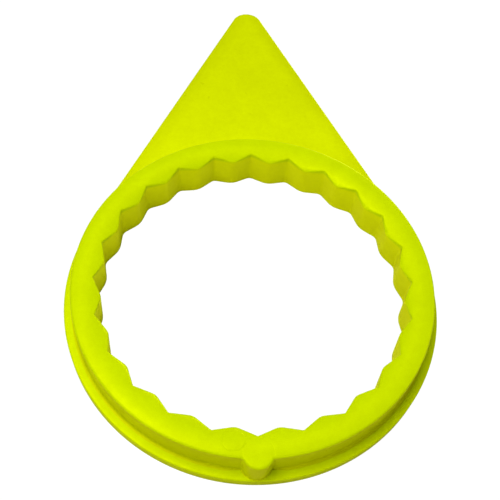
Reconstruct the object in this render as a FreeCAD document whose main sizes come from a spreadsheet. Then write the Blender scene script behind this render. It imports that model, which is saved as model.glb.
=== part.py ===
"""Loose wheel nut indicator: a moulded pointer ring that is pushed over a hexagonal wheel nut.

Frame: the origin is on the axis of the ring, in the plane of the flat underside. +Z runs along
the axis, out of the raised collar, and +Y runs towards the tip of the pointer. Millimetres.

The object is a single moulding. It is built as its five functional bodies, which meet face to
face: the flange, the pointer plate, the collar wall, the ring of grip teeth and the index post.
"""
import FreeCAD, Part
import math
import os

import Sketcher

V = FreeCAD.Vector
UP = V(0, 0, 1)
START, END, CENTRE = 1, 2, 3
ORIGIN = (-1, 1)
X_AXIS, Y_AXIS = -1, -2

# name of the cell, value, meaning
DIMENSIONS = (
    ("point_count", 24, "grip points round the socket"),
    ("valley_radius", 18.4, "radius of the valleys at the underside, half of the nut's corner size"),
    ("crest_radius", 17.5, "radius at which the two flanks of a tooth would meet, at the underside"),
    ("crest_round", 2.0, "rounding of a tooth's crest"),
    ("land_angle", 0.6, "bare wall left between two teeth, degrees"),
    ("draft_shrink", 0.1, "radius that the socket loses from the underside to the top"),
    ("collar_radius", 20.75, "outer radius of the collar"),
    ("collar_top", 5.3, "height of the collar's top face"),
    ("rim_round", 0.3, "rounding of the collar's outer rim"),
    ("foot_round", 0.3, "hollow blend where the collar stands on the plate"),
    ("plate_thickness", 1.5, "thickness of the flange and of the pointer"),
    ("flange_radius", 21.95, "outer radius of the flange"),
    ("edge_round", 0.2, "rounding of the plate's upper edge"),
    ("tip_distance", 46.5, "distance from the ring's axis to the centre of the rounded tip"),
    ("tip_radius", 2.15, "radius of the pointer's tip"),
    ("post_radius", 1.7, "radius of the index post"),
    ("post_distance", 20.1, "distance from the ring's axis to the axis of the post"),
)


def make_sheet(doc):
    """Put every driving dimension in one cell with a name."""
    sheet = doc.addObject("Spreadsheet::Sheet", "dims")
    for row, (name, value, meaning) in enumerate(DIMENSIONS, start=1):
        sheet.set(f"A{row}", meaning)
        sheet.set(f"B{row}", str(value))
        sheet.setAlias(f"B{row}", name)
    doc.recompute()
    return sheet


def make_body(doc, label):
    """An empty body whose label names its piece."""
    body = doc.addObject("PartDesign::Body", label)
    body.Label = label
    body.Placement = FreeCAD.Placement()
    return body


def make_sketch(body, name, role):
    """An empty sketch on one of the body's own origin planes."""
    sketch = body.newObject("Sketcher::SketchObject", name)
    plane = next(item for item in body.Origin.OriginFeatures if item.Role == role)
    sketch.AttachmentSupport = [(plane, "")]
    sketch.MapMode = "FlatFace"
    return sketch


def constrain(sketch, kind, *items, name=None, rule=None):
    """Add one constraint and, if it has a size, bind it to the sheet."""
    if rule is None:
        sketch.addConstraint(Sketcher.Constraint(kind, *items))
        return
    index = sketch.addConstraint(Sketcher.Constraint(kind, *items, sketch.evalExpression(rule)))
    sketch.renameConstraint(index, name)
    sketch.setExpression(f"Constraints.{name}", rule)


def line(sketch, start, end):
    return sketch.addGeometry(Part.LineSegment(V(*start, 0), V(*end, 0)), False)


def arc(sketch, centre, radius, first, last):
    """An arc that runs anticlockwise between two directions given in degrees."""
    circle = Part.Circle(V(*centre, 0), UP, radius)
    return sketch.addGeometry(Part.ArcOfCircle(circle, math.radians(first), math.radians(last)), False)


def polar(radius, degrees):
    return (radius * math.cos(math.radians(degrees)), radius * math.sin(math.radians(degrees)))


def quarter_arc(sketch, start, end, kind):
    """A quarter round that climbs from start to end, as ("rounded") or against ("hollow") the corner.

    It returns the arc, its points at start and at end, and the one level with its centre.
    """
    radius = start[0] - end[0]
    if kind == "rounded":
        return arc(sketch, (end[0], start[1]), radius, 0, 90), START, END, START
    return arc(sketch, (start[0], end[1]), radius, 180, 270), END, START, START


def ring_profile(body, name, points, arcs):
    """A closed profile in the XZ plane whose corners are (radius, height) rules of the sheet.

    Straight edges join the corners, and arcs maps the number of a corner to the kind of quarter
    round that leads from it to the next one.
    """
    sketch = make_sketch(body, name, "XZ_Plane")
    corners = [[sketch.evalExpression(rule) for rule in point] for point in points]
    edges = []
    for index, (start, end) in enumerate(zip(corners, corners[1:] + corners[:1])):
        if index in arcs:
            edge, first, last, level = quarter_arc(sketch, start, end, arcs[index])
            constrain(sketch, "Horizontal", edge, CENTRE, edge, level)
        else:
            edge, first, last = line(sketch, start, end), START, END
        edges.append((edge, first, last))
    for index, (edge, first, last) in enumerate(edges):
        following, follow_first, _ = edges[(index + 1) % len(edges)]
        constrain(sketch, "Coincident", edge, last, following, follow_first)
    for index, ((across, height), (edge, first, _)) in enumerate(zip(points, edges)):
        constrain(sketch, "DistanceX", *ORIGIN, edge, first, name=f"across_{index}", rule=across)
        constrain(sketch, "DistanceY", *ORIGIN, edge, first, name=f"height_{index}", rule=height)
    return sketch


def revolve(body, sketch, kind="PartDesign::Revolution", angle="360"):
    """Turn a profile about the ring's axis."""
    feature = body.newObject(kind, f"{sketch.Name}_turned")
    feature.Profile = sketch
    feature.ReferenceAxis = (sketch, ["V_Axis"])
    feature.setExpression("Angle", angle)
    feature.Midplane = True
    body.Tip = feature
    body.Document.recompute()
    return feature


def pad(body, sketch, length):
    feature = body.newObject("PartDesign::Pad", f"{sketch.Name}_pad")
    feature.Profile = sketch
    feature.setExpression("Length", length)
    body.Tip = feature
    body.Document.recompute()
    return feature


def round_edges(body, base, wanted, radius):
    """Round the edges of a feature that the wanted() test picks."""
    names = [f"Edge{number}" for number, edge in enumerate(base.Shape.Edges, start=1) if wanted(edge)]
    feature = body.newObject("PartDesign::Fillet", f"{base.Name}_rounded")
    feature.Base = (base, names)
    feature.setExpression("Radius", radius)
    body.Tip = feature
    body.Document.recompute()
    return feature


def height_range(edge):
    return edge.BoundBox.ZMin, edge.BoundBox.ZMax


def at_height(edge, height):
    return all(math.isclose(z, height, abs_tol=1e-6) for z in height_range(edge))


def mid_radius(edge):
    """Distance from the ring's axis to the middle of an edge."""
    middle = edge.valueAt((edge.FirstParameter + edge.LastParameter) / 2)
    return math.hypot(middle.x, middle.y)


# Rules shared by several pieces: the socket's wall leans inwards by the draft,
# and each side of the pointer touches the flange's circle at flank_angle above the X axis.
WALL_AT_PLATE = "dims.valley_radius - dims.draft_shrink * dims.plate_thickness / dims.collar_top"
WALL_AT_TOP = "dims.valley_radius - dims.draft_shrink"
FLANK_ANGLE = "asin((dims.flange_radius - dims.tip_radius) / dims.tip_distance)"
POST_SEAT = "dims.collar_radius - dims.rim_round"


def make_flange(doc):
    """Flat rim of the ring. It stops at the two radial planes where the pointer begins."""
    body = make_body(doc, "base_flange")
    points = (
        ("dims.valley_radius", "0"),
        ("dims.flange_radius", "0"),
        ("dims.flange_radius", "dims.plate_thickness - dims.edge_round"),
        ("dims.flange_radius - dims.edge_round", "dims.plate_thickness"),
        (WALL_AT_PLATE, "dims.plate_thickness"),
    )
    profile = ring_profile(body, "flange_profile", points, {2: "rounded"})
    revolve(body, profile, angle=f"180 deg + 2 * {FLANK_ANGLE}")
    body.setExpression("Placement.Rotation.Angle", "-90")
    return body


def pointer_outline(body):
    """Outline of the pointer plate: rounded tip, two straight sides, two radial ends, socket arc."""
    sketch = make_sketch(body, "pointer_outline", "XY_Plane")
    value = sketch.evalExpression
    tip = (0, value("dims.tip_distance"))
    tip_radius = value("dims.tip_radius")
    outer = value("dims.flange_radius")
    inner = value("dims.crest_radius")
    flank = value(FLANK_ANGLE).Value
    sides = []
    for direction in (flank, 180 - flank):
        offset = polar(tip_radius, direction)
        shoulder = (tip[0] + offset[0], tip[1] + offset[1])
        side = line(sketch, shoulder, polar(outer, direction))
        radial = line(sketch, polar(outer, direction), polar(inner, direction))
        constrain(sketch, "Coincident", side, END, radial, START)
        constrain(sketch, "Perpendicular", side, radial)
        constrain(sketch, "PointOnObject", *ORIGIN, radial)
        sides.append((side, radial))
    cap = arc(sketch, tip, tip_radius, flank, 180 - flank)
    socket = arc(sketch, (0, 0), inner, flank, 180 - flank)
    (right, right_end), (left, left_end) = sides
    constrain(sketch, "Tangent", cap, START, right, START)
    constrain(sketch, "Tangent", cap, END, left, START)
    constrain(sketch, "Coincident", socket, START, right_end, END)
    constrain(sketch, "Coincident", socket, END, left_end, END)
    constrain(sketch, "Coincident", socket, CENTRE, *ORIGIN)
    constrain(sketch, "PointOnObject", cap, CENTRE, Y_AXIS)
    constrain(sketch, "DistanceY", *ORIGIN, cap, CENTRE, name="tip_at", rule="dims.tip_distance")
    constrain(sketch, "Radius", cap, name="tip_round", rule="dims.tip_radius")
    constrain(sketch, "Radius", socket, name="socket_round", rule="dims.crest_radius")
    for index, (side, radial) in enumerate(sides):
        rule = "dims.flange_radius - dims.crest_radius"
        constrain(sketch, "Distance", radial, name=f"width_{index}", rule=rule)
    return sketch


def make_pointer(doc):
    """Flat arrow plate, with the sector of the rim that it grows out of."""
    body = make_body(doc, "pointer_plate")
    plate = pad(body, pointer_outline(body), "dims.plate_thickness")
    thickness = plate.Length.Value
    flange_radius = doc.dims.flange_radius

    def is_outer_top(edge):
        return at_height(edge, thickness) and mid_radius(edge) > flange_radius

    round_edges(body, plate, is_outer_top, "dims.edge_round")
    whole = body.Shape.Volume
    points = (
        ("dims.crest_radius / 2", "0"),
        ("dims.valley_radius", "0"),
        (WALL_AT_PLATE, "dims.plate_thickness"),
        ("dims.crest_radius / 2", "dims.plate_thickness"),
    )
    profile = ring_profile(body, "pointer_socket", points, {})
    revolve(body, profile, kind="PartDesign::Groove")
    assert body.Shape.Volume < whole
    return body


def post_outline(body, name):
    """Section of the index post: round outside, its back against the seat in the collar."""
    sketch = make_sketch(body, name, "XY_Plane")
    value = sketch.evalExpression
    radius = value("dims.post_radius")
    distance = value("dims.post_distance")
    seat = value(POST_SEAT)
    height = (seat ** 2 + distance ** 2 - radius ** 2) / (2 * distance)
    half_width = math.sqrt(seat ** 2 - height ** 2)
    swing = math.degrees(math.atan2(distance - height, half_width))
    spread = math.degrees(math.atan2(half_width, height))
    front = arc(sketch, (0, -distance), radius, 180 - swing, 360 + swing)
    back = arc(sketch, (0, 0), seat, 270 - spread, 270 + spread)
    constrain(sketch, "Coincident", front, START, back, START)
    constrain(sketch, "Coincident", front, END, back, END)
    constrain(sketch, "Coincident", back, CENTRE, *ORIGIN)
    constrain(sketch, "PointOnObject", front, CENTRE, Y_AXIS)
    constrain(sketch, "DistanceY", front, CENTRE, *ORIGIN, name="post_at", rule="dims.post_distance")
    constrain(sketch, "Radius", front, name="post_round", rule="dims.post_radius")
    constrain(sketch, "Radius", back, name="seat_round", rule=POST_SEAT)
    return sketch


def make_collar(doc):
    """Raised wall of the ring, hollow-blended onto the plate, with a seat cut for the post."""
    body = make_body(doc, "collar_wall")
    points = (
        (WALL_AT_PLATE, "dims.plate_thickness"),
        ("dims.collar_radius + dims.foot_round", "dims.plate_thickness"),
        ("dims.collar_radius", "dims.plate_thickness + dims.foot_round"),
        ("dims.collar_radius", "dims.collar_top - dims.rim_round"),
        ("dims.collar_radius - dims.rim_round", "dims.collar_top"),
        (WALL_AT_TOP, "dims.collar_top"),
    )
    profile = ring_profile(body, "collar_profile", points, {1: "hollow", 3: "rounded"})
    revolve(body, profile)
    whole = body.Shape.Volume
    seat = body.newObject("PartDesign::Pocket", "post_seat")
    seat.Profile = post_outline(body, "seat_outline")
    seat.Reversed = True
    seat.setExpression("Length", "dims.collar_top")
    body.Tip = seat
    doc.recompute()
    assert body.Shape.Volume < whole
    return body


def tooth_section(body, name, shrink, height):
    """Section of one tooth: root arc on the wall, two flanks and a rounded crest on the X axis."""
    sketch = make_sketch(body, name, "XY_Plane")
    sketch.setExpression("AttachmentOffset.Base.z", height)
    value = sketch.evalExpression
    root_rule = f"dims.valley_radius - {shrink}"
    crest_rule = f"dims.crest_radius - {shrink}"
    span_rule = "(360 / dims.point_count - dims.land_angle) * 1 deg"
    root_radius = value(root_rule)
    crest = value(crest_rule)
    rounding = value("dims.crest_round")
    half_span = value(span_rule).Value / 2
    root_end = polar(root_radius, half_span)
    flank_length = math.hypot(root_end[0] - crest, root_end[1])
    lean = math.asin(root_end[1] / flank_length)
    centre = crest + rounding / math.sin(lean)
    contact = (centre - rounding * math.sin(lean), rounding * math.cos(lean))
    upper = line(sketch, root_end, contact)
    lower = line(sketch, (root_end[0], -root_end[1]), (contact[0], -contact[1]))
    turn = 90 + math.degrees(lean)
    top = arc(sketch, (centre, 0), rounding, turn, 360 - turn)
    root = arc(sketch, (0, 0), root_radius, -half_span, half_span)
    corner = sketch.addGeometry(Part.Point(V(crest, 0, 0)), True)
    constrain(sketch, "Coincident", root, CENTRE, *ORIGIN)
    constrain(sketch, "Coincident", root, END, upper, START)
    constrain(sketch, "Coincident", root, START, lower, START)
    constrain(sketch, "Tangent", upper, END, top, START)
    constrain(sketch, "Tangent", lower, END, top, END)
    constrain(sketch, "Symmetric", root, START, root, END, X_AXIS)
    constrain(sketch, "PointOnObject", corner, START, X_AXIS)
    constrain(sketch, "PointOnObject", corner, START, upper)
    constrain(sketch, "PointOnObject", top, CENTRE, X_AXIS)
    constrain(sketch, "DistanceX", *ORIGIN, corner, START, name="crest_at", rule=crest_rule)
    constrain(sketch, "Radius", root, name="root_round", rule=root_rule)
    constrain(sketch, "Radius", top, name="crest_rounding", rule="dims.crest_round")
    constrain(sketch, "Angle", root, name="span", rule=span_rule)
    return sketch


def make_teeth(doc):
    """Ring of equal grip teeth on the inside of the collar, from the underside to the top face."""
    body = make_body(doc, "grip_teeth")
    lower = tooth_section(body, "tooth_at_underside", "0", "0")
    upper = tooth_section(body, "tooth_at_top", "dims.draft_shrink", "dims.collar_top")
    doc.recompute()
    tooth = body.newObject("PartDesign::AdditiveLoft", "tooth")
    tooth.Profile = lower
    tooth.Sections = [(upper, [""])]
    tooth.Ruled = True
    body.Tip = tooth
    doc.recompute()
    ring = body.newObject("PartDesign::PolarPattern", "tooth_ring")
    ring.Originals = [tooth]
    ring.Axis = (lower, ["N_Axis"])
    ring.Angle = 360
    ring.setExpression("Occurrences", "dims.point_count")
    body.Tip = ring
    body.setExpression("Placement.Rotation.Angle", "180 / dims.point_count")
    doc.recompute()
    return body


def make_post(doc):
    """Round post on the outside of the collar, opposite the pointer, flush with the top face."""
    body = make_body(doc, "index_post")
    post = pad(body, post_outline(body, "post_outline"), "dims.collar_top - dims.plate_thickness")
    top = post.Length.Value
    seat_radius = doc.dims.collar_radius

    def is_front_top(edge):
        return at_height(edge, top) and mid_radius(edge) > seat_radius

    round_edges(body, post, is_front_top, "dims.rim_round")
    body.setExpression("Placement.Base.z", "dims.plate_thickness")
    return body


def check(doc, bodies):
    """Stop if any object of the document failed or any piece is empty or broken."""
    for item in doc.Objects:
        assert not {"Invalid", "Error"} & set(item.State), item.Label
    for body in bodies:
        assert not body.Shape.isNull() and body.Shape.isValid(), body.Label


def main():
    doc = FreeCAD.newDocument("wheel_nut_indicator")
    make_sheet(doc)
    makers = (make_flange, make_pointer, make_collar, make_teeth, make_post)
    bodies = [maker(doc) for maker in makers]
    doc.recompute()
    check(doc, bodies)
    os.makedirs("parts", exist_ok=True)
    for body in bodies:
        body.Shape.exportStep(f"parts/{body.Label}.step")
        print(body.Label, len(body.Shape.Solids), round(body.Shape.Volume, 2), body.Shape.BoundBox)


main()
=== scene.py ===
"""Studio scene of a moulded loose wheel nut indicator, lying flat with its pointer to the back.

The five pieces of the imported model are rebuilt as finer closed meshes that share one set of
curves, so that they join without a visible seam, as regions of one moulding do.
Lengths are in millimetres until a mesh is made. Angles are polar angles about the ring's axis.
"""

import functools
import math

import bmesh
import bpy
import numpy as np
from mathutils import Matrix, Vector


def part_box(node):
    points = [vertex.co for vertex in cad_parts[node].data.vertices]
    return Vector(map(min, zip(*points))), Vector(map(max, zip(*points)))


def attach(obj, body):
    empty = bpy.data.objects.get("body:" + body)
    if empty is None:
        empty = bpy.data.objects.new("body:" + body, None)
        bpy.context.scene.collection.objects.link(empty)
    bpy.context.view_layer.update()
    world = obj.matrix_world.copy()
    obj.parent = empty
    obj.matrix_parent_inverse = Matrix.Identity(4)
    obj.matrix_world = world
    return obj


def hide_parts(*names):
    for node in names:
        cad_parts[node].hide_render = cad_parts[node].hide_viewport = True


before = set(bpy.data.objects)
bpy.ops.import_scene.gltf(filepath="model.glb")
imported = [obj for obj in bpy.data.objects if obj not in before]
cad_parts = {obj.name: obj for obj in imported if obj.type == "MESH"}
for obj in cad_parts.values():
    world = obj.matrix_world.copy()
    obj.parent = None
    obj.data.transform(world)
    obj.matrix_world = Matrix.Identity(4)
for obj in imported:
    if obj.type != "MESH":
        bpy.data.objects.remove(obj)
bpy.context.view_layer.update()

MM = 0.001


def box_mm(node):
    low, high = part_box(node)
    return np.array(low) / MM, np.array(high) / MM


# ---------------------------------------------------------------- sizes, from the CAD pieces
TEETH_LOW, TEETH_HIGH = box_mm("grip_teeth")
FLANGE_LOW, FLANGE_HIGH = box_mm("base_flange")
POINTER_LOW, POINTER_HIGH = box_mm("pointer_plate")
COLLAR_LOW, COLLAR_HIGH = box_mm("collar_wall")
POST_LOW, POST_HIGH = box_mm("index_post")

TOP = COLLAR_HIGH[2]                      # height of the collar's top face
PLATE = FLANGE_HIGH[2]                    # thickness of flange and pointer
FLANGE_R = -FLANGE_LOW[1]
FOOT = 0.3                                # hollow blend at the collar's foot
COLLAR_R = COLLAR_HIGH[0] - FOOT
VALLEY_R = TEETH_HIGH[0]
POST_R = (POST_HIGH[0] - POST_LOW[0]) / 2
POST_Y = -POST_LOW[1] - POST_R            # distance of the post's axis from the ring's axis
TIP_R = 2.15
TIP_Y = POINTER_HIGH[1] - TIP_R

# ---------------------------------------------------------------- sizes of the fine details
POINTS = 24                               # grip points round the socket
PITCH = 2 * math.pi / POINTS
CREST_R = 17.5                            # where the flanks of a tooth would meet
CREST_ROUND = 0.9                         # rounding of the crests at the top
CREST_SOFT = 2.6                          # and at the bottom
CREST_GAIN = 0.1                          # the crests stand this much further in at the top
VALLEY_ROUND = 0.22                       # rounding of the valleys at the top
VALLEY_SOFT = 1.0                         # and at the bottom
DRAFT = 0.1                               # radius the socket loses from bottom to top
INNER_RIM = 0.25                          # rounding of the socket's upper rim
OUTER_RIM = 0.3                           # rounding of the collar's outer rim
DOME_R = 4.3                              # the top face is slightly domed, with this radius
DOME_CREST = 19.74                        # circle where the dome is highest
DOME_END = 20.4                           # it stops here, so the post's top stays level
FLANGE_EDGE = 0.17                        # rounding of the flange's upper edge
POINTER_EDGE = 0.20                       # rounding of the pointer's upper edge
UNDER_EDGE = 0.08                         # worn lower edge
LIP = 0.002                               # the collar's foot ends this much above the plate
SKIRT = 0.04                              # the collar is this much wider than its foot, and
SINK = 0.25                               # reaches this far into the plate, out of sight
SEAM_R = 19.3                             # circle where the tooth ring meets the collar
POST_BLEND = 0.35                         # hollow blend where the post leaves the collar
POST_FOOT = 0.06                          # the post has almost no blend at its foot


# ---------------------------------------------------------------- colours, as red and green
BLUE = 0.0006                             # the plastic returns almost no blue
# one plastic throughout: the pointer's top is painted lighter than collar and flange, painted
# light
COLLAR_TOP = (0.56, 0.72)
POINTER_TOP = (0.65, 0.76)
FLANGE_TOP = (0.58, 0.72)
# outer wall of collar and post: painted shade, darker and warmer than the top of the same plastic
WALL = (0.55, 0.60)
# socket wall: painted light high up under the rim, painted shade, darker and warmer, at its foot
SOCKET_FOOT, SOCKET_HEAD = (0.62, 0.66), (0.76, 0.82)
PLATE_FOOT = (0.52, 0.58)                 # painted shade on the side and lower edge of flange and pointer
RIM_START = TOP - 0.55                    # the top face's colour begins at the inner rim
WALL_END = TOP - 0.3                      # and the wall's ends below the outer rim
# heights with the colours there; these colours paint light and shade into the moulding
# the socket's colour: painted shade at the foot rising to painted light below the rim
SOCKET_STOPS = [(0.0, *SOCKET_FOOT), (RIM_START - 0.4, *SOCKET_HEAD), (RIM_START, *COLLAR_TOP)]
# collar wall and post: painted shade on the wall up to the outer rim
WALL_STOPS = [(0.0, *WALL), (WALL_END, *WALL), (TOP - 0.2, *COLLAR_TOP)]
# flange and pointer: painted shade on the side, below the top's colour
FLANGE_STOPS = [(0.0, *PLATE_FOOT), (1.0, 0.54, 0.62), (1.4, *FLANGE_TOP), (1.5, *FLANGE_TOP)]
POINTER_STOPS = [(0.0, *PLATE_FOOT), (1.0, 0.56, 0.64), (1.4, *POINTER_TOP), (1.5, *POINTER_TOP)]
MOTTLE_LOW, MOTTLE_HIGH = 0.94, 1.06      # factors on the colour
ROUGHEST, SMOOTHEST = 0.38, 0.27
EDGE_PAINTED_SHADE, EDGE_PAINTED_SHADE_WIDTH = 0.90, 2.2  # painted shade along the pointer's margin
# painted light near the pointer's root, fading to painted shade towards its tip
ROOT_SPAN, ROOT_PAINTED_LIGHT_AND_SHADE = (22.0, 33.0), (1.06, 0.96)
SPECK_Y, SPECK_SHADE = 33.0, 0.10
# faint moulding marks: centre, radius, width, height
WITNESS = ((-2.47, -18.8), 1.2, 0.10, -0.02)
POST_RING = ((0.0, -POST_Y), POST_R - 0.05, 0.10, -0.012)

# ---------------------------------------------------------------- floor, lights and camera
TABLE = 0.7                               # grey of the table that returns light to the object
WHITE = 1.05                              # glow of the background
LAMP_COLOUR = (1.0, 1.0, 0.08)            # yellow, so the sheen stays as yellow as the plastic
LAMP_SIZE, LAMP_DISTANCE = 0.2, 0.35      # metres
LAMP_AIM = (0, 0.013, 0)                  # metres
# azimuth (0 in front, 90 on the right), elevation and power
LAMPS = {
    "key": (270, 70, 0.78),
    "left_fill": (315, 50, 0.25),
    "high_back": (190, 70, 0.22),
    "low_back": (150, 8, 0.65),
    "right_fill": (90, 25, 0.15),
    "front_fill": (10, 25, 0.20),
}
CAMERA_TURN = (-6.2, 57.7, 6.2)           # azimuth, elevation, roll
CAMERA_AIM = (-0.1, 7.1, 0)
CAMERA_DISTANCE = 94.7
LENS = 54.6


# ---------------------------------------------------------------- the socket's outline
CREST_DIR = np.array([math.cos(PITCH / 2), math.sin(PITCH / 2)])


@functools.lru_cache(maxsize=None)
def half_pitch(depth):
    """Flank of a tooth as a line, valley on the X axis, at a depth from 0 (top) to 1 (underside).

    Returns its normal into the material, its distance, its direction and the tooth's crest.
    """
    valley = np.array([VALLEY_R, 0.0])
    crest = (CREST_R - CREST_GAIN * (1 - depth)) * CREST_DIR
    along = (crest - valley) / np.linalg.norm(crest - valley)
    normal = np.array([along[1], -along[0]])
    return normal, float(normal @ valley), along, crest


def ray_circle(angle, centre, radius, far):
    """Distance from the origin, in a direction, to a circle: its far or its near crossing."""
    direction = np.array([math.cos(angle), math.sin(angle)])
    along = float(direction @ centre)
    across = float(centre @ centre) - along * along
    reach = math.sqrt(max(radius * radius - across, 0.0))
    return along + reach if far else along - reach


def socket_radius(angle, offset, height=None):
    """Radius of the toothed outline moved outwards, into the material, by offset."""
    depth = 0.0 if height is None else 1 - height / TOP
    normal, distance, along, crest_point = half_pitch(depth)
    valley_round = VALLEY_ROUND + (VALLEY_SOFT - VALLEY_ROUND) * depth
    crest_round = CREST_ROUND + (CREST_SOFT - CREST_ROUND) * depth
    folded = abs((angle + PITCH / 2) % PITCH - PITCH / 2)

    crest_sine = math.sqrt(1 - float(along @ CREST_DIR) ** 2)
    centre = crest_point + CREST_DIR * crest_round / crest_sine
    contact = centre - normal * (crest_round - offset)
    if folded > math.atan2(contact[1], contact[0]):
        return ray_circle(folded, centre, crest_round - offset, far=False)

    valley_sine = math.sqrt(1 - float(along[0]) ** 2)
    centre = np.array([VALLEY_R - valley_round / valley_sine, 0.0])
    contact = centre + normal * (valley_round + offset)
    if folded < math.atan2(contact[1], contact[0]):
        return ray_circle(folded, centre, valley_round + offset, far=True)

    direction = np.array([math.cos(folded), math.sin(folded)])
    return (distance + offset) / float(normal @ direction)


# ---------------------------------------------------------------- the collar's outer outline
def blend_circle():
    """Centre of the hollow blend that touches collar and post, on the side of positive x."""
    reach = COLLAR_R + POST_BLEND
    down = (reach ** 2 + POST_Y ** 2 - (POST_R + POST_BLEND) ** 2) / (2 * POST_Y)
    return np.array([math.sqrt(reach ** 2 - down ** 2), -down])


POST_CENTRE = np.array([0.0, -POST_Y])
BLEND_CENTRE = blend_circle()
BLEND_ANGLE = math.atan2(BLEND_CENTRE[0], -BLEND_CENTRE[1])
POST_CONTACT = POST_CENTRE + (BLEND_CENTRE - POST_CENTRE) * POST_R / (POST_R + POST_BLEND)
POST_ANGLE = math.atan2(POST_CONTACT[0], -POST_CONTACT[1])


def outer_outline(angle):
    """Point and outward normal of the collar's wall, with the post on it, in a direction."""
    direction = np.array([math.cos(angle), math.sin(angle)])
    turn = (angle + math.pi / 2 + math.pi) % (2 * math.pi) - math.pi
    if abs(turn) >= BLEND_ANGLE:
        return direction * COLLAR_R, direction
    if abs(turn) > POST_ANGLE:
        centre = BLEND_CENTRE * np.array([math.copysign(1, turn), 1])
        point = direction * ray_circle(angle, centre, POST_BLEND, far=False)
        return point, (centre - point) / POST_BLEND
    point = direction * ray_circle(angle, POST_CENTRE, POST_R, far=True)
    return point, (point - POST_CENTRE) / POST_R


def foot_size(angle):
    """The foot's blend narrows to almost nothing at the post."""
    turn = abs((angle + math.pi / 2 + math.pi) % (2 * math.pi) - math.pi)
    share = np.clip((turn - BLEND_ANGLE) / math.radians(4.5), 0, 1)
    return POST_FOOT + (FOOT - POST_FOOT) * share * share * (3 - 2 * share)


# ---------------------------------------------------------------- directions of the columns
FLANK_ANGLE = math.asin((FLANGE_R - TIP_R) / TIP_Y)


def pitch_angles():
    """Directions over one pitch, close together at the valley and on the crest."""
    degrees = (0, 0.12, 0.27, 0.6, 1.0, 1.4, 2.2, 3.0, 3.8, 4.6, 5.3, 5.8, 6.3, 6.9)
    half = [math.radians(a) for a in degrees] + [PITCH / 2]
    return half + [PITCH - a for a in half[-2:0:-1]]


def post_angles():
    """Directions that resolve the post and its blends, measured from the post."""
    blend = np.linspace(BLEND_ANGLE, POST_ANGLE, 7)
    front = np.linspace(POST_ANGLE, 0, 16)[1:]
    half = list(blend) + list(front)
    return half + [-a for a in half[:-1]]


def ring_angles():
    """Every direction of the ring, from the right end of the pointer's root all the way round."""
    around = [k * PITCH + a for k in range(POINTS) for a in pitch_angles()]
    around += [1.5 * math.pi + a for a in post_angles()]
    around += [FLANK_ANGLE, math.pi - FLANK_ANGLE]
    start = FLANK_ANGLE
    around = sorted(round((a - start) % (2 * math.pi), 7) for a in around)
    kept = [around[0]]
    for a in around[1:]:
        if a - kept[-1] > 2e-4:
            kept.append(a)
    return [a + start for a in kept if a < 2 * math.pi - 2e-4]


ANGLES = ring_angles()


# ---------------------------------------------------------------- sections of the pieces
def arc_steps(count):
    return [math.pi / 2 * k / count for k in range(count + 1)]


def at(angle, radius, height):
    return (radius * math.cos(angle), radius * math.sin(angle), height)


def dome(radius):
    """How far the domed top face has dropped at a radius, and how steeply it falls outwards."""
    reach = min(radius, DOME_END) - DOME_CREST
    fade = min(max(1 - (radius - DOME_END) / 0.5, 0), 1)
    return reach * reach / (2 * DOME_R), math.atan(reach / DOME_R) * fade


def on_dome(start, end, count):
    """Points across the top face, from the first plan position towards the second."""
    points = []
    for k in range(count + 1):
        x, y = start + (end - start) * k / count
        points.append((x, y, TOP - dome(math.hypot(x, y))[0]))
    return points


def rim_angles(start, count):
    return [start + (math.pi / 2 - start) * k / count for k in range(count + 1)]


def tooth_section(angle):
    """Closed section of the tooth ring in one direction, from the seam over the rim and down."""
    direction = np.array([math.cos(angle), math.sin(angle)])
    rim = socket_radius(angle, INNER_RIM) - DRAFT
    lean = max(0.0, -dome(rim)[1])
    rim = socket_radius(angle, INNER_RIM * (1 - math.sin(lean))) - DRAFT
    section = on_dome(direction * SEAM_R, direction * rim, 6)
    centre = section[-1][2] - INNER_RIM * math.cos(lean)
    for a in rim_angles(lean, 7)[1:]:
        offset = INNER_RIM * (1 - math.sin(a))
        height = centre + INNER_RIM * math.cos(a)
        radius = socket_radius(angle, offset, height) - DRAFT * height / TOP
        section.append(at(angle, radius, height))
    for k in range(1, 6):
        height = centre + (UNDER_EDGE - centre) * k / 5
        section.append(at(angle, socket_radius(angle, 0, height) - DRAFT * height / TOP, height))
    section.append(at(angle, socket_radius(angle, UNDER_EDGE, 0), 0))
    section.append(at(angle, SEAM_R, 0))
    high = section[0][2]
    section += [at(angle, SEAM_R, high * k / 4) for k in (1, 2, 3)]
    return section


def collar_section(angle):
    """Closed section of the collar wall or the post, from the seam over the rim to the foot."""
    point, normal = outer_outline(angle)
    direction = np.array([math.cos(angle), math.sin(angle)])
    foot = foot_size(angle)

    def out(offset, height):
        x, y = point + normal * offset
        return (x, y, height)

    rim = point - normal * OUTER_RIM
    lean = max(0.0, dome(float(np.hypot(*rim)))[1])
    rim = point - normal * OUTER_RIM * (1 - math.sin(lean))
    section = on_dome(direction * SEAM_R, rim, 6)
    high = section[-1][2] - OUTER_RIM * math.cos(lean)
    for a in rim_angles(lean, 7)[1:]:
        section.append(out(-OUTER_RIM * (1 - math.sin(a)), high + OUTER_RIM * math.cos(a)))
    low = PLATE + foot
    section += [out(0, high + (low - high) * k / 4) for k in (1, 2, 3)]
    for a in arc_steps(6):
        section.append(out(foot * (1 - math.cos(a)), PLATE + LIP + foot * (1 - math.sin(a))))
    section.append(out(foot + SKIRT, PLATE + LIP))
    section.append(out(foot + SKIRT, PLATE - SINK))
    section.append(at(angle, SEAM_R, PLATE - SINK))
    span = section[0][2] - PLATE + SINK
    section += [at(angle, SEAM_R, PLATE - SINK + span * k / 4) for k in (1, 2, 3)]
    return section


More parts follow.
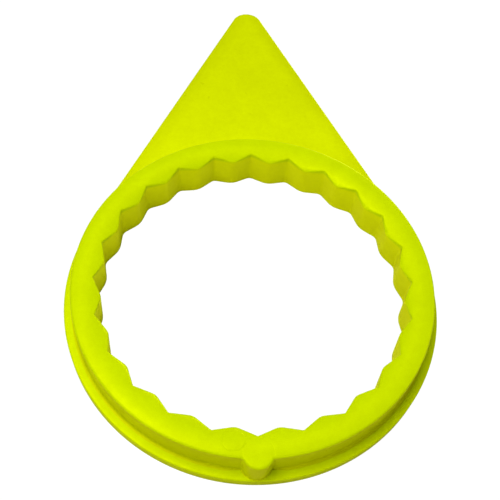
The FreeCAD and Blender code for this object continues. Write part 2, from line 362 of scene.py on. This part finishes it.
def plate_edge(point, normal, size):
    """Rounded upper edge, side and lower edge of the plate, at one point of its outline."""

    def out(offset, height):
        x, y = point + normal * offset
        return (x, y, height)

    edge = []
    for a in arc_steps(5):
        edge.append(out(-size * (1 - math.sin(a)), PLATE - size * (1 - math.cos(a))))
    edge.append(out(0, (PLATE - size + UNDER_EDGE) / 2))
    edge.append(out(0, UNDER_EDGE))
    edge.append(out(-UNDER_EDGE, 0))
    return edge


def plate_section(angle, point, normal, size, steps):
    """Closed section of flange or pointer, from the seam under the collar out to the edge."""
    edge = plate_edge(point, normal, size)
    shoulder = np.array(edge[0])
    root = np.array(at(angle, COLLAR_R + FOOT, PLATE))
    section = [at(angle, SEAM_R, PLATE)]
    section += [tuple(root + (shoulder - root) * k / steps) for k in range(steps)]
    section += edge
    heel = np.array(edge[-1])
    inside = np.array(at(angle, SEAM_R, 0))
    section += [tuple(heel + (inside - heel) * k / 3) for k in (1, 2, 3)]
    section.append(at(angle, SEAM_R, PLATE / 2))
    return section


def flange_section(angle):
    direction = np.array([math.cos(angle), math.sin(angle)])
    return plate_section(angle, direction * FLANGE_R, direction, FLANGE_EDGE, 2)


def pointer_outline():
    """Points and normals along the pointer's edge: right side, rounded tip, left side."""
    tip = np.array([0.0, TIP_Y])
    right = np.array([math.cos(FLANK_ANGLE), math.sin(FLANK_ANGLE)])
    start, end = right * FLANGE_R, tip + right * TIP_R
    side = [(start + (end - start) * k / 26, right) for k in range(26)]
    cap = []
    for a in np.linspace(FLANK_ANGLE, math.pi / 2, 15):
        normal = np.array([math.cos(a), math.sin(a)])
        cap.append((tip + normal * TIP_R, normal))
    half = side + cap
    flip = np.array([-1, 1])
    return half + [(point * flip, normal * flip) for point, normal in half[-2::-1]]


def pointer_edge(point):
    """The pointer's edge rounding narrows to the flange's where the two meet."""
    share = np.clip((point[1] - FLANGE_R * math.sin(FLANK_ANGLE)) / 4, 0, 1)
    return FLANGE_EDGE + (POINTER_EDGE - FLANGE_EDGE) * share


# ---------------------------------------------------------------- meshes
def sweep(name, sections, closed):
    """A closed mesh through equal sections, with an end cap on each end of an open sweep."""
    mesh = bmesh.new()
    columns = [[mesh.verts.new(Vector(p) * MM) for p in section] for section in sections]
    rows = len(columns[0])
    pairs = list(zip(columns, columns[1:]))
    if closed:
        pairs.append((columns[-1], columns[0]))
    for near, far in pairs:
        for k in range(rows):
            after = (k + 1) % rows
            mesh.faces.new((near[k], near[after], far[after], far[k]))
    if not closed:
        caps = [mesh.faces.new(columns[0]), mesh.faces.new(columns[-1][::-1])]
        bmesh.ops.triangulate(mesh, faces=caps)
    bmesh.ops.remove_doubles(mesh, verts=mesh.verts, dist=1e-8)
    bmesh.ops.recalc_face_normals(mesh, faces=mesh.faces)
    data = bpy.data.meshes.new(name)
    mesh.to_mesh(data)
    mesh.free()
    data.shade_smooth()
    data.set_sharp_from_angle(angle=math.radians(35))
    piece = bpy.data.objects.new(name, data)
    bpy.context.scene.collection.objects.link(piece)
    return piece


def between(first, last):
    """The ring's directions from first to last, both included."""
    return [a for a in ANGLES + [ANGLES[0] + 2 * math.pi] if first - 1e-4 <= a <= last + 1e-4]


def build_pieces():
    """One mesh for each CAD node, by the node's name."""
    post = 1.5 * math.pi
    after_post = [a for a in ANGLES if a >= post + BLEND_ANGLE - 1e-4]
    before_post = [a + 2 * math.pi for a in ANGLES if a <= post - BLEND_ANGLE + 1e-4]
    post_directions = between(post - BLEND_ANGLE, post + BLEND_ANGLE)
    flange_directions = between(math.pi - FLANK_ANGLE, 2 * math.pi + FLANK_ANGLE)
    pointer = [
        plate_section(math.atan2(point[1], point[0]), point, normal, pointer_edge(point), 34)
        for point, normal in pointer_outline()
    ]
    collar = [collar_section(a) for a in after_post + before_post]
    return {
        "grip_teeth": sweep("toothed_socket", [tooth_section(a) for a in ANGLES], True),
        "collar_wall": sweep("collar", collar, False),
        "index_post": sweep("post", [collar_section(a) for a in post_directions], False),
        "base_flange": sweep("flange", [flange_section(a) for a in flange_directions], False),
        "pointer_plate": sweep("pointer", pointer, False),
    }


pieces = build_pieces()


# ---------------------------------------------------------------- material
class Nodes:
    """Short way of adding linked nodes to a material. Lengths in the graph are millimetres."""

    def __init__(self, material):
        self.tree = material.node_tree

    def add(self, kind, inputs=(), **settings):
        node = self.tree.nodes.new(kind)
        for key, value in settings.items():
            setattr(node, key, value)
        for key, value in dict(inputs).items():
            if isinstance(value, bpy.types.NodeSocket):
                self.tree.links.new(value, node.inputs[key])
            else:
                node.inputs[key].default_value = value
        return node

    def math(self, operation, first, second=0.0, third=0.0):
        inputs = {0: first, 1: second, 2: third}
        return self.add("ShaderNodeMath", inputs, operation=operation).outputs[0]

    def vector(self, operation, inputs, output=0):
        return self.add("ShaderNodeVectorMath", inputs, operation=operation).outputs[output]

    def noise(self, vector, size, detail=2.0, rough=0.5):
        """Noise with lumps of about the given size."""
        inputs = {"Vector": vector, "Scale": 1.0 / size, "Detail": detail, "Roughness": rough}
        return self.add("ShaderNodeTexNoise", inputs).outputs["Fac"]

    def spread(self, value, low, high, to_low, to_high):
        inputs = {
            "Value": value,
            "From Min": low,
            "From Max": high,
            "To Min": to_low,
            "To Max": to_high,
        }
        return self.add("ShaderNodeMapRange", inputs).outputs["Result"]

    def ridge(self, place, centre, radius, width, height):
        """Height of a thin round ridge or groove about a point of the plan."""
        flat = self.vector("MULTIPLY", {0: place, 1: (1, 1, 0)})
        gap = self.vector("DISTANCE", {0: flat, 1: centre}, "Value")
        off = self.math("ABSOLUTE", self.math("SUBTRACT", gap, radius))
        return self.spread(off, 0.0, width, height, 0.0)

    def mix(self, *shares):
        """Sum of values, each given with its factor."""
        total = self.math("MULTIPLY", *shares[0])
        for share in shares[1:]:
            total = self.math("ADD", total, self.math("MULTIPLY", *share))
        return total


def paint_light_and_shade_by_height(nodes, height, top, stops):
    """Colour that changes with height: light and shade painted into the colour of the moulding.
    """
    ramp = nodes.add("ShaderNodeValToRGB", {"Fac": nodes.spread(height, 0.0, top, 0.0, 1.0)})
    colours = ramp.color_ramp
    while len(colours.elements) < len(stops):
        colours.elements.new(0.5)
    for element, (level, red, green) in zip(colours.elements, stops):
        element.position = level / top
        element.color = (red, green, BLUE, 1)
    return ramp.outputs["Color"]


def pointer_painted_light_shade_and_specks(nodes, place, x, y):
    """Painted shade at the edges and tip, painted light at the root, and a few dark specks."""
    side = nodes.math("MULTIPLY", nodes.math("ABSOLUTE", x), math.cos(FLANK_ANGLE))
    along = nodes.math("MULTIPLY", y, math.sin(FLANK_ANGLE))
    inside = nodes.math("SUBTRACT", FLANGE_R, nodes.math("ADD", side, along))
    # painted shade, darkest at the pointer's edge
    edge = nodes.spread(inside, 0.0, EDGE_PAINTED_SHADE_WIDTH, EDGE_PAINTED_SHADE, 1.0)
    # painted light near the root, painted shade towards the tip
    root = nodes.spread(y, *ROOT_SPAN, *ROOT_PAINTED_LIGHT_AND_SHADE)
    speck = nodes.spread(nodes.noise(place, 0.9, 3.0, 0.6), 0.66, 0.72, 0.0, 1.0)
    distance = nodes.math("ABSOLUTE", nodes.math("SUBTRACT", y, SPECK_Y))
    middle = nodes.spread(distance, 2.0, 7.0, 1.0, 0.0)
    specks = nodes.math("MULTIPLY", nodes.math("MULTIPLY", speck, middle), SPECK_SHADE)
    return nodes.math("MULTIPLY", edge, root), specks


def moulded_plastic(name, top, stops, streaks=0.0, marks=(), pointer=False):
    """Yellow moulding: fine grain, slow waviness, mottled colour, satin finish, painted light and
    shade.
    """
    material = bpy.data.materials.new(name)
    material.use_nodes = True
    nodes = Nodes(material)
    shader = material.node_tree.nodes["Principled BSDF"]
    place = nodes.add("ShaderNodeTexCoord").outputs["Object"]
    place = nodes.vector("SCALE", {0: place, "Scale": 1 / MM})
    x, y, z = nodes.add("ShaderNodeSeparateXYZ", {0: place}).outputs
    cloud = nodes.noise(place, 5.0, 3.0)
    blotch = nodes.noise(place, 1.6, 2.0)
    fleck = nodes.noise(place, 0.55, 2.0)
    grain = nodes.noise(place, 0.16, 2.0)

    mottle = nodes.mix((cloud, 0.3), (blotch, 0.2), (fleck, 0.25), (grain, 0.25))
    shade = nodes.spread(mottle, 0.35, 0.65, MOTTLE_LOW, MOTTLE_HIGH)
    if pointer:
        # the pointer's colour gets painted light and shade, and dark specks
        factor, specks = pointer_painted_light_shade_and_specks(nodes, place, x, y)
        shade = nodes.math("SUBTRACT", nodes.math("MULTIPLY", shade, factor), specks)
    # light and shade painted into the colour, by height
    colour = paint_light_and_shade_by_height(nodes, z, top, stops)
    colour = nodes.vector("SCALE", {0: colour, "Scale": shade})
    nodes.tree.links.new(colour, shader.inputs["Base Color"])

    gloss = nodes.mix((cloud, 0.4), (fleck, 0.6))
    roughness = nodes.spread(gloss, 0.3, 0.7, ROUGHEST, SMOOTHEST)
    nodes.tree.links.new(roughness, shader.inputs["Roughness"])

    height = nodes.mix((cloud, 0.05), (blotch, 0.012), (fleck, 0.008), (grain, 0.003))
    if streaks:
        stretch = nodes.add("ShaderNodeMapping", {"Vector": place, "Scale": (1.0, 1.0, 0.06)})
        drag = nodes.noise(stretch.outputs["Vector"], 0.4, 2.0)
        height = nodes.math("ADD", height, nodes.math("MULTIPLY", drag, streaks))
    for centre, radius, width, lift in marks:
        mark = nodes.ridge(place, (*centre, 0), radius, width, lift)
        height = nodes.math("ADD", height, mark)
    bump = nodes.add("ShaderNodeBump", {"Height": height, "Strength": 1.0, "Distance": MM})
    nodes.tree.links.new(bump.outputs["Normal"], shader.inputs["Normal"])
    shader.inputs["IOR"].default_value = 1.5
    shader.inputs["Specular IOR Level"].default_value = 0.5
    shader.inputs["Specular Tint"].default_value = (1.0, 1.0, 0.02, 1)
    return material


def make_materials():
    """One material for each CAD node, by the node's name."""
    marks = [WITNESS, POST_RING]
    plastic = moulded_plastic
    return {
        "grip_teeth": plastic("moulded_yellow_socket", TOP, SOCKET_STOPS, 0.012, marks),
        "collar_wall": plastic("moulded_yellow_collar", TOP, WALL_STOPS, 0.006, marks),
        "index_post": plastic("moulded_yellow_post", TOP, WALL_STOPS, 0.006, marks),
        "base_flange": plastic("moulded_yellow_flange", PLATE, FLANGE_STOPS),
        "pointer_plate": plastic("moulded_yellow_pointer", PLATE, POINTER_STOPS, pointer=True),
    }


materials = make_materials()
for node, piece in pieces.items():
    piece.data.materials.append(materials[node])
    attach(piece, "root")
    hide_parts(node)


# ---------------------------------------------------------------- floor, lights, camera
def plane(name, size, height):
    data = bpy.data.meshes.new(name)
    plan = [(-size, -size), (size, -size), (size, size), (-size, size)]
    corners = [(x, y, height) for x, y in plan]
    data.from_pydata(corners, [], [(0, 1, 2, 3)])
    item = bpy.data.objects.new(name, data)
    bpy.context.scene.collection.objects.link(item)
    material = bpy.data.materials.new(name)
    material.use_nodes = True
    data.materials.append(material)
    return item, material.node_tree.nodes["Principled BSDF"]


def make_floor():
    """A pale table that takes light and shadow, and the even white that shows in its place."""
    table, shader = plane("table", 2.0, -0.00002)
    shader.inputs["Base Color"].default_value = (TABLE, TABLE, TABLE, 1)
    shader.inputs["Roughness"].default_value = 0.9
    shader.inputs["Specular IOR Level"].default_value = 0.0
    table.visible_camera = False
    white, shader = plane("floor", 6.0, -0.0001)
    shader.inputs["Base Color"].default_value = (0, 0, 0, 1)
    shader.inputs["Specular IOR Level"].default_value = 0.0
    shader.inputs["Emission Color"].default_value = (1, 1, 1, 1)
    shader.inputs["Emission Strength"].default_value = WHITE
    white.visible_diffuse = False
    white.visible_glossy = False
    white.visible_shadow = False


def light_from(name, azimuth, elevation, power):
    """A round soft light that points at the object."""
    a, e = math.radians(azimuth), math.radians(elevation)
    way = Vector((math.sin(a) * math.cos(e), -math.cos(a) * math.cos(e), math.sin(e)))
    data = bpy.data.lights.new(name, "AREA")
    data.shape = "DISK"
    data.size = LAMP_SIZE
    data.energy = power
    data.color = LAMP_COLOUR
    lamp = bpy.data.objects.new(name, data)
    bpy.context.scene.collection.objects.link(lamp)
    lamp.location = Vector(LAMP_AIM) + way * LAMP_DISTANCE
    lamp.rotation_euler = (-way).to_track_quat("-Z", "Y").to_euler()


def make_world():
    """White behind everything; the lamps alone light the object."""
    world = bpy.data.worlds.new("studio")
    world.use_nodes = True
    background = world.node_tree.nodes["Background"]
    background.inputs["Color"].default_value = (1, 1, 1, 1)
    background.inputs["Strength"].default_value = WHITE
    seen = world.cycles_visibility
    seen.diffuse = seen.glossy = seen.transmission = seen.scatter = False
    bpy.context.scene.world = world


def make_camera():
    """Close camera in front of the ring, a little to its left, tilted about its own axis."""
    azimuth, elevation, roll = (math.radians(a) for a in CAMERA_TURN)
    aim = Vector(CAMERA_AIM) * MM
    back = Vector((
        math.sin(azimuth) * math.cos(elevation),
        -math.cos(azimuth) * math.cos(elevation),
        math.sin(elevation),
    ))
    data = bpy.data.cameras.new("camera")
    data.sensor_width = 36.0
    data.lens = LENS
    data.clip_start = 0.001
    data.clip_end = 100.0
    camera = bpy.data.objects.new("camera", data)
    bpy.context.scene.collection.objects.link(camera)
    turn = (-back).to_track_quat("-Z", "Y").to_matrix() @ Matrix.Rotation(roll, 3, "Z")
    camera.matrix_world = Matrix.Translation(aim + back * CAMERA_DISTANCE * MM) @ turn.to_4x4()
    bpy.context.scene.camera = camera


make_floor()
make_world()
for name, lamp in LAMPS.items():
    light_from(name, *lamp)
make_camera()
bpy.context.scene.view_settings.view_transform = "Standard"
